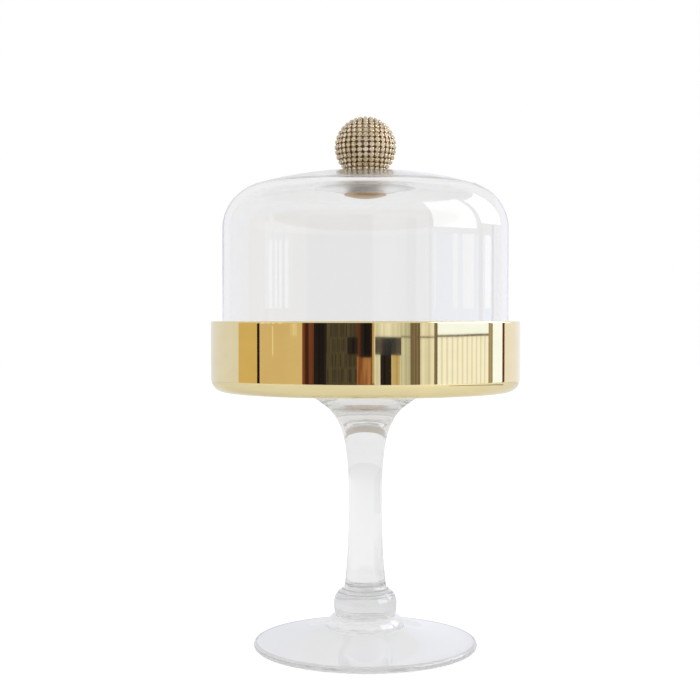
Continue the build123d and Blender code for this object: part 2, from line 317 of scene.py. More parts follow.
def make_object(bm, name, materials):
    """Turns a bmesh into an object at the origin with its materials."""
    mesh = bpy.data.meshes.new(name)
    bm.to_mesh(mesh)
    bm.free()
    made = bpy.data.objects.new(name, mesh)
    for material in materials:
        made.data.materials.append(material)
    bpy.context.scene.collection.objects.link(made)
    return made


def fit_piece(bm, name, materials, body, node):
    """Makes a piece that rides on its body and stands for a frame node."""
    made = make_object(bm, name, materials)
    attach(made, body)
    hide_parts(node)
    return made


def paint_level(bm, z, index, within=1.0):
    """Gives the flat faces at height z another material, out to a radius."""
    for face in bm.faces:
        if all(abs(v.co.z - z) < NEAR and v.co.xy.length < within + NEAR for v in face.verts):
            face.material_index = index


def finish_node(node, material):
    """Gives a frame node its finish."""
    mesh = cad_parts[node].data
    mesh.materials.clear()
    mesh.materials.append(material)


# ---- Shader tools --------------------------------------------------------------------------
def feed(tree, value, socket):
    """Gives a socket a value, or a link from another socket."""
    if isinstance(value, bpy.types.NodeSocket):
        tree.links.new(value, socket)
    else:
        socket.default_value = value


def put(tree, kind, settings=None, **sockets):
    """Adds a node. settings are its own values; sockets are input values or links, by name."""
    made = tree.nodes.new(kind)
    for name, value in (settings or {}).items():
        setattr(made, name, value)
    for name, value in sockets.items():
        feed(tree, value, made.inputs[name.replace("_", " ")])
    return made


def blank_material(name):
    """A material with nothing but its output."""
    made = bpy.data.materials.new(name)
    made.use_nodes = True
    made.node_tree.nodes.clear()
    return made, made.node_tree


def show(tree, shader):
    """Joins a shader to the tree's output."""
    put(tree, "ShaderNodeOutputMaterial", Surface=shader)


def show_surface(tree, **sockets):
    """Joins a principled shader with these inputs to the tree's output."""
    show(tree, put(tree, "ShaderNodeBsdfPrincipled", **sockets).outputs[0])


def show_glow(tree, tone, strength=1.0):
    """Joins an even glow to the tree's output."""
    show(tree, put(tree, "ShaderNodeEmission", Color=tone, Strength=strength).outputs[0])


def mix_shaders(tree, factor, first, second):
    """Mixes two shaders by a factor."""
    made = tree.nodes.new("ShaderNodeMixShader")
    for value, socket in zip((factor, first, second), made.inputs):
        feed(tree, value, socket)
    return made.outputs[0]


def calculate(tree, operation, *values):
    """One step of arithmetic on numbers or sockets."""
    made = put(tree, "ShaderNodeMath", {"operation": operation})
    for value, socket in zip(values, made.inputs):
        feed(tree, value, socket)
    return made.outputs[0]


def noise_on(tree, scale, detail=2.0, stretch=(1.0, 1.0, 1.0)):
    """Noise over the piece's own coordinates, stretched along its axes."""
    place = put(tree, "ShaderNodeTexCoord")
    fitted = put(tree, "ShaderNodeMapping", Vector=place.outputs["Object"], Scale=stretch)
    made = put(tree, "ShaderNodeTexNoise", Vector=fitted.outputs[0], Scale=scale, Detail=detail)
    return made.outputs["Fac"]


def bump_from(tree, height, distance, strength):
    """A bump whose height socket runs over a distance in metres."""
    made = put(tree, "ShaderNodeBump", Height=height, Distance=distance, Strength=strength)
    return made.outputs["Normal"]


def two_tone(tree, factor, low, high, first, second):
    """A colour that runs from first to second as the factor runs from low to high."""
    ramp = put(tree, "ShaderNodeValToRGB", Fac=factor)
    for stop, position, tone in zip(ramp.color_ramp.elements, (low, high), (first, second)):
        stop.position = position
        stop.color = (*tone, 1.0)
    return ramp.outputs["Color"]


def level_range(tree, factor, low, high):
    """A number that runs from low to high as the factor runs from nought to one."""
    made = put(tree, "ShaderNodeMapRange", Value=factor, To_Min=low, To_Max=high)
    return made.outputs["Result"]


def shaded(value, factor):
    """A colour made lighter or darker."""
    return tuple(min(1.0, part * factor) for part in value)


# ---- Finishes ------------------------------------------------------------------------------
def clear_glass(name, tint, waves, stretch=(1.0, 1.0, 1.0), strength=0.6, roughness=0.0, index=1.5):
    """Polished soda glass with the faint waves of hand work. It lets lamp light through."""
    made, tree = blank_material(name)
    ripple = noise_on(tree, waves, detail=1.0, stretch=stretch)
    glass = put(
        tree,
        "ShaderNodeBsdfPrincipled",
        Base_Color=(*tint, 1.0),
        Roughness=roughness,
        IOR=index,
        Transmission_Weight=1.0,
        Normal=bump_from(tree, ripple, 0.2 * MM, strength),
    )
    path = put(tree, "ShaderNodeLightPath")
    clear = put(tree, "ShaderNodeBsdfTransparent", Color=(*shaded(tint, 0.97), 1.0))
    show(tree, mix_shaders(tree, path.outputs["Is Shadow Ray"], glass.outputs[0], clear.outputs[0]))
    return made


def clear_joint(name):
    """A cured clear bond: it has the glass's own index, so nearly all light passes it unbent."""
    made, tree = blank_material(name)
    cloud = noise_on(tree, 600.0, detail=3.0)
    skin = put(
        tree,
        "ShaderNodeBsdfPrincipled",
        Base_Color=two_tone(tree, cloud, 0.35, 0.65, (0.82, 0.82, 0.8), (0.95, 0.95, 0.94)),
        Roughness=level_range(tree, cloud, 0.1, 0.3),
    )
    film = put(tree, "ShaderNodeBsdfTransparent", Color=(0.99, 0.99, 0.985, 1.0))
    show(tree, mix_shaders(tree, 0.03, film.outputs[0], skin.outputs[0]))
    return made


def mirror_plating(name, tone):
    """Mirror plating on glass, with the soft pull of the wall under it and faint smears."""
    made, tree = blank_material(name)
    pull = noise_on(tree, 16.0, detail=1.0, stretch=(1.0, 1.0, 0.6))
    smear = noise_on(tree, 60.0, detail=4.0, stretch=(1.0, 1.0, 2.5))
    show_surface(
        tree,
        Base_Color=two_tone(tree, smear, 0.3, 0.7, shaded(tone, 0.97), shaded(tone, 1.02)),
        Metallic=1.0,
        Roughness=level_range(tree, smear, 0.012, 0.035),
        Normal=bump_from(tree, pull, 0.2 * MM, 0.5),
    )
    return made


def turned_metal(name, base, roughness, grain):
    """Satin metal with fine turning marks and slight tarnish."""
    made, tree = blank_material(name)
    marks = noise_on(tree, grain, detail=3.0, stretch=(1.0, 1.0, 6.0))
    tarnish = noise_on(tree, 220.0, detail=4.0)
    show_surface(
        tree,
        Base_Color=two_tone(tree, tarnish, 0.35, 0.7, shaded(base, 0.78), shaded(base, 1.05)),
        Metallic=1.0,
        Roughness=level_range(tree, marks, roughness * 0.7, roughness * 1.3),
        Normal=bump_from(tree, marks, 0.01 * MM, 0.4),
    )
    return made


def chain_metal(name, base):
    """Bright plated brass of the cup chain, its tone drifting from cup to cup."""
    made, tree = blank_material(name)
    drift = noise_on(tree, 300.0, detail=3.0)
    show_surface(
        tree,
        Base_Color=two_tone(tree, drift, 0.3, 0.7, shaded(base, 0.8), shaded(base, 1.07)),
        Metallic=1.0,
        Roughness=level_range(tree, drift, 0.2, 0.36),
    )
    return made


def cut_crystal(name, tint):
    """Clear cut stone."""
    made, tree = blank_material(name)
    flaw = noise_on(tree, 900.0, detail=1.0)
    show_surface(
        tree,
        Base_Color=two_tone(tree, flaw, 0.35, 0.65, shaded(tint, 0.96), tint),
        Roughness=0.0,
        IOR=1.56,
        Transmission_Weight=1.0,
    )
    return made


def stone_foil(name, base):
    """The foil behind a stone, brighter and duller from stone to stone."""
    made, tree = blank_material(name)
    drift = noise_on(tree, 260.0)
    show_surface(
        tree,
        Base_Color=two_tone(tree, drift, 0.32, 0.68, shaded(base, 0.86), shaded(base, 1.04)),
        Metallic=0.9,
        Roughness=0.18,
    )
    return made


def cast_resin(name, base):
    """Brown painted resin with a soft mottle."""
    made, tree = blank_material(name)
    mottle = noise_on(tree, 400.0, detail=4.0)
    show_surface(
        tree,
        Base_Color=two_tone(tree, mottle, 0.3, 0.7, shaded(base, 0.7), shaded(base, 1.3)),
        Roughness=level_range(tree, mottle, 0.3, 0.5),
        Normal=bump_from(tree, mottle, 0.05 * MM, 0.3),
    )
    return made


def soft_clear(name):
    """Milky soft washer."""
    made, tree = blank_material(name)
    cloud = noise_on(tree, 500.0, detail=3.0)
    show_surface(
        tree,
        Base_Color=two_tone(tree, cloud, 0.3, 0.7, (0.8, 0.79, 0.76), (0.9, 0.89, 0.87)),
        Roughness=0.35,
        IOR=1.42,
        Transmission_Weight=0.7,
        Normal=bump_from(tree, cloud, 0.02 * MM, 0.3),
    )
    return made


# ---- Stand ---------------------------------------------------------------------------------
class CAKESTAND_OT_foot(bpy.types.Operator):
    """Turn the clear foot with its hollowed underside, rounded rim and collar"""

    bl_idname = "cakestand.foot"
    bl_label = "Foot"

    def execute(self, context):
        s = context.scene.cake_stand
        top = FOOT_HIGH.z
        half = s.rim / 2
        edge = FOOT_HIGH.x - half
        inner = edge - s.ring
        sweep = (inner**2 + s.kick**2) / (2 * s.kick)
        outline = Outline(0.0, s.kick)
        outline.arc(0.0, s.kick - sweep, asin(inner / sweep), steps=24)
        outline.line(edge, 0.0)
        outline.arc(edge, half, -pi, steps=14)
        outline.bend((-1.0, 0.1), (-1.0, 0.42), s.collar, top - s.collar_height, steps=30)
        outline.bend((0.1, 1.0), (-1.0, 0.0), s.neck, top, steps=18)
        outline.line(0.0, top)
        bm = outline.turned(s.steps)
        set_smooth(bm)
        joint, rim, under = 1, 2, 3  # places in the list of materials
        paint_level(bm, top, joint)
        for face in bm.faces:
            if all(v.co.xy.length > edge - s.rim / 4 for v in face.verts):
                face.material_index = rim
            elif face.normal.z < -0.5:
                face.material_index = under
        materials = [
            clear_glass("foot_glass", s.foot_tint, 26.0, strength=0.12),
            clear_joint("foot_joint"),
            # The rim's faces take a darker copy of the foot glass: painted shade along the rim.
            clear_glass("rim_glass_painted_shade", shaded(s.foot_tint, 0.68), 26.0),
            clear_glass("foot_under", s.foot_tint, 26.0, index=1.08),
        ]
        fit_piece(bm, "clear_foot", materials, STAND, "foot")
        return {"FINISHED"}


class CAKESTAND_OT_stem(bpy.types.Operator):
    """Turn the solid stem with its knop and its flare under the dish"""

    bl_idname = "cakestand.stem"
    bl_label = "Stem"

    def execute(self, context):
        s = context.scene.cake_stand
        low, high = STEM_LOW.z, STEM_HIGH.z
        flare = STEM_HIGH.x
        ground = s.neck - s.joint_shade_ring
        belly_z = low + s.knop_height * 0.42
        cut_r = s.knop - 1.3 * MM
        cut_z = low + s.knop_height * 0.78
        knop_top = low + s.knop_height
        throat_z = high - s.flare_height
        waist_z = knop_top + (throat_z - knop_top) * 0.48
        mid_r = s.throat + (flare - s.throat) * 0.39
        mid_z = high - s.flare_height * 0.3
        outline = Outline(0.0, low)
        outline.line(ground, low)
        outline.step(s.neck, low)
        outline.bend((0.3, 1.0), (0.0, 1.0), s.knop, belly_z)
        outline.bend((0.0, 1.0), (-0.5, 0.85), cut_r, cut_z)
        outline.step(cut_r - s.groove, cut_z + s.groove / 2)
        outline.bend((-0.3, 0.95), (-0.75, 0.65), s.root + 0.9 * MM, knop_top, steps=10)
        outline.bend((-0.75, 0.65), (-0.12, 1.0), s.root, knop_top + 2.6 * MM, steps=8)
        outline.bend((-0.12, 1.0), (0.0, 1.0), s.waist, waist_z, steps=24)
        outline.bend((0.0, 1.0), (0.2, 1.0), s.throat, throat_z, steps=24)
        outline.bend((0.2, 1.0), (1.0, 0.75), mid_r, mid_z, steps=16)
        outline.bend((1.0, 0.75), (1.0, 0.12), flare, high, steps=16)
        outline.line(s.joint_core, high)
        outline.line(0.0, high)
        bm = outline.turned(s.steps)
        set_smooth(bm)
        joint, bare, core, knop, dark = 1, 2, 3, 4, 5  # places in the list of materials
        # The knop's faces take a darker copy of the stem glass: painted shade on the knop.
        for face in bm.faces:
            if all(v.co.z < knop_top + NEAR for v in face.verts):
                face.material_index = knop
        # A near-black mirror ring at the joint's edge: painted shade along the lower joint.
        paint_level(bm, low, dark)
        paint_level(bm, low, joint, within=ground)
        paint_level(bm, high, bare)
        paint_level(bm, high, core, within=s.joint_core)
        materials = [
            clear_glass("stem_glass", s.stem_tint, 30.0, (1.0, 1.0, 0.35)),
            clear_joint("stem_joint"),
            mirror_plating("bare_joint", (0.9, 0.89, 0.87)),
            mirror_plating("joint_core", (0.62, 0.52, 0.4)),
            # A darker copy of the stem glass, painted shade on the knop.
            clear_glass("knop_glass_painted_shade", shaded(s.stem_tint, 0.84), 90.0, (1.0, 1.0, 2.0)),
            mirror_plating("joint_shade_ring", (0.17, 0.165, 0.16)),
        ]
        fit_piece(bm, "clear_stem", materials, STAND, "stem")
        return {"FINISHED"}


class CAKESTAND_OT_bonds(bpy.types.Operator):
    """Finish the clear bonds between foot, stem and dish"""

    bl_idname = "cakestand.bonds"
    bl_label = "Bonds"

    def execute(self, context):
        film = clear_joint("clear_bond")
        finish_node("foot_bond", film)
        finish_node("dish_bond", film)
        return {"FINISHED"}


class CAKESTAND_OT_dish(bpy.types.Operator):
    """Turn the gold-plated dish"""

    bl_idname = "cakestand.dish"
    bl_label = "Dish"

    def execute(self, context):
        s = context.scene.cake_dish
        steps = context.scene.cake_stand.steps
        base, rim, r = DISH_LOW.z, DISH_HIGH.z, DISH_HIGH.x
        inner = r - s.wall
        floor = base + s.floor
        outline = Outline(0.0, base)
        outline.line((r - s.corner) / 2, base)  # a ring halfway keeps the flat faces short
        outline.line(r - s.corner, base)
        outline.arc(r - s.corner, base + s.corner, -pi / 2, steps=20)
        outline.line(r, rim - s.lip)
        outline.arc(r - s.lip, rim - s.lip, -pi / 2, steps=8)
        outline.line(inner + s.lip, rim)
        outline.arc(inner + s.lip, rim - s.lip, -pi / 2, steps=8)
        outline.line(inner, floor + s.inner_corner)
        outline.arc(inner - s.inner_corner, floor + s.inner_corner, pi / 2, steps=12)
        outline.line(inner / 2, floor)
        outline.line(0.0, floor)
        bm = outline.turned(steps)
        set_smooth(bm)
        paint_level(bm, base, 1)
        materials = [
            mirror_plating("gold_mirror", s.gold),
            mirror_plating("underside", s.underside),
        ]
        fit_piece(bm, "gold_dish", materials, STAND, "dish")
        return {"FINISHED"}


# ---- Lid -----------------------------------------------------------------------------------
class CAKESTAND_OT_dome(bpy.types.Operator):
    """Turn the clear dome with its shoulder, its dip for the knob and its thick pad"""

    bl_idname = "cakestand.dome"
    bl_label = "Dome"

    def execute(self, context):
        s = context.scene.cake_dome
        steps = context.scene.cake_stand.steps
        rim, r = DOME_LOW.z, DOME_HIGH.x
        inner = r - s.wall
        centre = rim + s.height - s.crown
        bend_r = r - s.shoulder
        bend_z = centre + sqrt((s.crown - s.shoulder) ** 2 - bend_r**2)
        lean = atan2(bend_z - centre, bend_r)
        lip_lean = acos(s.dimple / s.crown)
        blend_lean = acos(s.pad_blend / (s.crown - s.wall))
        outline = Outline(inner + s.rim_round, rim)
        outline.line(r - s.rim_round, rim)
        outline.arc(r - s.rim_round, rim + s.rim_round, -pi / 2, steps=8)
        outline.line(r, bend_z)
        outline.arc(bend_r, bend_z, -lean, steps=28)
        outline.arc(0.0, centre, lean - lip_lean, steps=24)
        lip_way = (-sin(lip_lean), cos(lip_lean))
        outline.bend(lip_way, (-1.0, 0.0), s.seat, SEAT_Z, steps=20)
        outline.line(s.hole, SEAT_Z)
        outline.line(s.hole, PAD_Z)
        outline.line(s.pad, PAD_Z)
        blend_way = (sin(blend_lean), -cos(blend_lean))
        end = (s.crown - s.wall) * Vector((cos(blend_lean), sin(blend_lean)))
        outline.bend((1.0, 0.0), blend_way, end.x, centre + end.y, steps=20)
        outline.arc(0.0, centre, blend_lean - lean, steps=20)
        outline.arc(bend_r, bend_z, lean, steps=24)
        outline.line(inner, rim + s.rim_round)
        outline.arc(inner + s.rim_round, rim + s.rim_round, -pi / 2, steps=8)
        bm = outline.turned(steps)
        set_smooth(bm)
        pad, crown = 1, 2  # places in the list of materials
        for face in bm.faces:
            if min(v.co.z for v in face.verts) > bend_z:
                furthest = max(v.co.xy.length for v in face.verts)
                if furthest < s.pad_blend + NEAR:
                    face.material_index = pad
                elif furthest < s.soft_crown and face.normal.z > 0:
                    face.material_index = crown
        materials = [
            clear_glass("dome_glass", s.glass, 18.0, (1.0, 1.0, 0.25)),
            clear_glass("ground_pad", s.glass, 60.0, roughness=0.3),
            clear_glass("crown_glass", s.glass, 30.0, roughness=0.12),
        ]
        fit_piece(bm, "clear_dome", materials, LID, "dome")
        return {"FINISHED"}


class CAKESTAND_OT_fixing(bpy.types.Operator):
    """Finish the nut, stud, insert and soft washers that hold the knob"""

    bl_idname = "cakestand.fixing"
    bl_label = "Knob fixing"

    def execute(self, context):
        milky = soft_clear("soft_clear")
        finish_node("knob_grommet", milky)
        finish_node("lower_washer", milky)
        finish_node("thumb_nut", turned_metal("bronze", (0.58, 0.41, 0.24), 0.3, 900.0))
        finish_node("knob_stud", turned_metal("steel", (0.6, 0.6, 0.6), 0.3, 1500.0))
        finish_node("knob_insert", turned_metal("insert_brass", (0.72, 0.5, 0.22), 0.25, 1500.0))
        finish_node("knob_core", cast_resin("ball_resin", context.scene.cake_knob.ball))
        return {"FINISHED"}


def chain_sizes(s):
    """The rows, levels and radii that cups and stones share, from the ball's own size."""
    top = BALL_HIGH.x
    girdle = top - s.stone_crown
    mouth = girdle + s.cup_lip
    cup = (mouth * s.row_angle - s.row_gap) / 2
    return {
        "rows": 1 + round((pi / 2 + s.lowest_row) / s.row_angle),
        "centre": (BALL_LOW.z + BALL_HIGH.z) / 2,
        "girdle": girdle,
        "mouth": mouth,
        "base": mouth - s.cup_depth,
        "cup": cup,
        "stone": cup - s.cup_wall - s.clearance,
    }


def ring_places(s, sizes, row):
    """One matrix for each cup in a ring. Its Z points away from the ball and X along the ring."""
    latitude = pi / 2 - row * s.row_angle
    counted = sizes["mouth"] * cos(max(abs(latitude), s.belt))
    count = max(1, int(tau * counted / (2 * sizes["cup"] + s.chain_gap)))
    places = []
    for i in range(count):
        turn = tau * i / count - pi / 2
        out = Vector((cos(latitude) * cos(turn), cos(latitude) * sin(turn), sin(latitude)))
        along = Vector((-sin(turn), cos(turn), 0.0))
        axes = Matrix((along, out.cross(along), out)).transposed()
        place = axes.to_4x4()
        place.translation = Vector((0.0, 0.0, sizes["centre"]))
        places.append(place)
    return places


def ring_spacing(s, sizes, row, count):
    """Distance from cup to cup along a ring, at the cups' base."""
    latitude = pi / 2 - row * s.row_angle
    return 2 * sizes["base"] * cos(latitude) * sin(pi / count)


def keep_mesh(bm, name):
    """Turns a bmesh into a mesh to copy from."""
    mesh = bpy.data.meshes.new(name)
    bm.to_mesh(mesh)
    bm.free()
    return mesh


def cup_template(s, sizes):
    """One cup standing out along Z, with four claws folded over its stone."""
    bm = bmesh.new()
    low = sizes["cup"] - s.cup_taper
    around = bmesh.ops.create_circle(bm, cap_ends=True, segments=12, radius=low)["verts"]
    lift(bm, around, sizes["base"])
    floor = bm.faces[:]
    top = points_in(bmesh.ops.extrude_face_region(bm, geom=floor)["geom"])
    widen(bm, top, sizes["cup"] / low)
    lift(bm, top, sizes["mouth"] - sizes["base"])
    bmesh.ops.delete(bm, geom=floor, context="FACES_ONLY")
    mouth = [f for f in bm.faces if f.normal.z > 0.9 or all(v in top for v in f.verts)]
    bmesh.ops.inset_region(bm, faces=mouth, thickness=s.cup_wall)
    pocket = [f for f in mouth if f.is_valid]
    bottom = points_in(bmesh.ops.extrude_face_region(bm, geom=pocket)["geom"])
    lift(bm, bottom, CUP_FLOOR - s.cup_depth)
    widen(bm, bottom, 0.5)
    bmesh.ops.delete(bm, geom=pocket, context="FACES_ONLY")
    lip = [f for f in bm.faces if all(abs(v.co.z - sizes["mouth"]) < NEAR for v in f.verts)]
    lip.sort(key=lambda f: atan2(f.calc_center_median().y, f.calc_center_median().x))
    claws = lip[1::3]
    for share, pull in ((0.55, 0.93), (0.45, 0.8)):
        claws = bmesh.ops.extrude_discrete_faces(bm, faces=claws)["faces"]
        for face in claws:
            middle = face.calc_center_median()
            lift(bm, face.verts, s.claw * share)
            widen(bm, face.verts, pull)
            bmesh.ops.scale(
                bm, verts=face.verts, vec=(0.85, 0.85, 1.0), space=Matrix.Translation(-middle * pull)
            )
    bmesh.ops.holes_fill(bm, edges=bm.edges, sides=12)
    bmesh.ops.recalc_face_normals(bm, faces=bm.faces)
    return keep_mesh(bm, "cup_template")


def stone_template(s, sizes):
    """One faceted stone: table, main and side facets above, a foiled pavilion below."""
    bm = bmesh.new()
    r = sizes["stone"]
    crown = bmesh.ops.create_cone(
        bm, cap_ends=True, segments=8, radius1=r, radius2=s.stone_table, depth=s.stone_crown
    )["verts"]
    lift(bm, crown, sizes["girdle"] + s.stone_crown / 2)
    slanted = [e for e in bm.edges if abs(e.verts[0].co.z - e.verts[1].co.z) > s.stone_crown / 2]
    bmesh.ops.bevel(
        bm, geom=slanted, offset=r * 0.16, affect="EDGES", segments=1, profile=0.5, material=-1
    )
    girdle = [f for f in bm.faces if all(v.co.z < sizes["girdle"] + NEAR for v in f.verts)]
    culet = points_in(bmesh.ops.extrude_face_region(bm, geom=girdle)["geom"])
    widen(bm, culet, s.stone_culet / r)
    lift(bm, culet, -s.stone_pavilion)
    bmesh.ops.delete(bm, geom=[f for f in girdle if f.is_valid], context="FACES_ONLY")
    bmesh.ops.recalc_face_normals(bm, faces=bm.faces)
    for face in bm.faces:
        face.material_index = 0 if face.calc_center_median().z > sizes["girdle"] else 1
    return keep_mesh(bm, "stone_template")


def add_copy(bm, template, place):
    """Adds a copy of a mesh to a bmesh at a place."""
    before = len(bm.verts)
    bm.from_mesh(template)
    bm.verts.ensure_lookup_table()
    bmesh.ops.transform(bm, matrix=place, verts=bm.verts[before:])


def add_link(bm, place, level, span):
    """Adds the short flat link from one cup to the next along its ring."""
    made = bmesh.ops.create_cube(bm, size=1.0)["verts"]
    bmesh.ops.scale(bm, verts=made, vec=(span, LINK_WIDTH, LINK_THICKNESS))
    lift(bm, made, level + LINK_LIFT)
    bmesh.ops.transform(bm, matrix=place, verts=made)


class CAKESTAND_OT_cup_chain(bpy.types.Operator):
    """Set the rings of cups and links round the ball"""

    bl_idname = "cakestand.cup_chain"
    bl_label = "Cup chain"

    def execute(self, context):
        s = context.scene.cake_knob
        sizes = chain_sizes(s)
        template = cup_template(s, sizes)
        metal = chain_metal("chain_gold", s.metal)
        for row in range(sizes["rows"]):
            places = ring_places(s, sizes, row)
            bm = bmesh.new()
            for place in places:
                add_copy(bm, template, place)
            if len(places) > 1:
                span = ring_spacing(s, sizes, row, len(places)) - 1.4 * sizes["cup"]
                half_step = pi / len(places)
                midway = Matrix.Rotation(half_step, 4, "Z")
                for place in places:
                    add_link(bm, midway @ place, sizes["base"] * cos(half_step), span)
            name = f"{row + 1:02d}"
            fit_piece(bm, f"chain_cups_{name}", [metal], LID, f"cup_ring_{name}")
        bpy.data.meshes.remove(template)
        return {"FINISHED"}


class CAKESTAND_OT_stones(bpy.types.Operator):
    """Set a faceted, foil-backed stone in every cup"""

    bl_idname = "cakestand.stones"
    bl_label = "Stones"

    def execute(self, context):
        s = context.scene.cake_knob
        sizes = chain_sizes(s)
        template = stone_template(s, sizes)
        materials = [cut_crystal("crystal", s.crystal), stone_foil("stone_foil", s.foil)]
        for row in range(sizes["rows"]):
            bm = bmesh.new()
            for i, place in enumerate(ring_places(s, sizes, row)):
                settled = Matrix.Rotation(GOLDEN_ANGLE * (i + row), 4, "Z")
                add_copy(bm, template, place @ settled)
            name = f"{row + 1:02d}"
            fit_piece(bm, f"cut_stones_{name}", materials, LID, f"stone_ring_{name}")
        bpy.data.meshes.remove(template)
        return {"FINISHED"}


# ---- Stage ---------------------------------------------------------------------------------
def glow(name, tone, strength=1.0):
    """A plain glowing surface of the room."""
    made, tree = blank_material(name)
    show_glow(tree, (*tone, 1.0), strength)
    return made


def glow_grained(name, low, high, scale, stretch):
    """A glowing surface with a grain or clutter, from one colour to another."""
    made, tree = blank_material(name)
    grain = noise_on(tree, scale, detail=3.0, stretch=stretch)
    show_glow(tree, two_tone(tree, grain, 0.38, 0.62, low, high))
    return made


def glow_slats(name, slat, gap, per_turn, share):
    """A glowing blind: upright slats with thin darker gaps, per_turn of them in a full turn."""
    made, tree = blank_material(name)
    place = put(tree, "ShaderNodeTexCoord").outputs["Object"]
    turned = put(tree, "ShaderNodeTexGradient", {"gradient_type": "RADIAL"}, Vector=place)
    along = calculate(tree, "FRACT", calculate(tree, "MULTIPLY", turned.outputs["Fac"], per_turn))
    show_glow(tree, two_tone(tree, along, share * 0.6, share, gap, slat))
    return made


def glow_shelves(name, shade, spines):
    """A glowing bookcase: upright spines between level boards, in dim tones."""
    made, tree = blank_material(name)
    place = put(tree, "ShaderNodeTexCoord").outputs["Object"]
    parts = put(tree, "ShaderNodeSeparateXYZ", Vector=place)
    flat = put(tree, "ShaderNodeCombineXYZ", X=parts.outputs["X"], Y=parts.outputs["Z"])
    case = put(
        tree,
        "ShaderNodeTexBrick",
        {"offset": 0.0},
        Vector=flat.outputs[0],
        Scale=1.0,
        Color1=(*spines, 1.0),
        Color2=(*shaded(spines, 0.35), 1.0),
        Mortar=(*shaded(spines, 0.8), 1.0),
        Mortar_Size=0.0014,
        Brick_Width=0.021,
        Row_Height=0.0195,
        Bias=0.1,
    )
    books = noise_on(tree, 90.0, stretch=(1.0, 1.0, 0.25))
    mix = {"data_type": "RGBA"}
    tone = put(tree, "ShaderNodeMix", mix, Factor=books, A=case.outputs["Color"], B=(*shade, 1.0))
    show_glow(tree, tone.outputs["Result"])
    return made


def room_surface(name, radius, start, end, low, high, material):
    """An upright curved surface of the room, from one azimuth to another, seen only in gloss."""
    bm = bmesh.new()
    first = bm.verts.new((radius * sin(radians(start)), -radius * cos(radians(start)), low))
    second = bm.verts.new((first.co.x, first.co.y, high))
    edge = bm.edges.new((first, second))
    steps = max(2, round((end - start) / 2))
    bmesh.ops.spin(
        bm, geom=[first, second, edge], axis=(0.0, 0.0, 1.0), angle=radians(end - start), steps=steps
    )
    made = make_object(bm, name, [material])
    made.visible_camera = False
    made.visible_diffuse = False
    made.visible_transmission = False
    made.visible_volume_scatter = False
    made.visible_shadow = False


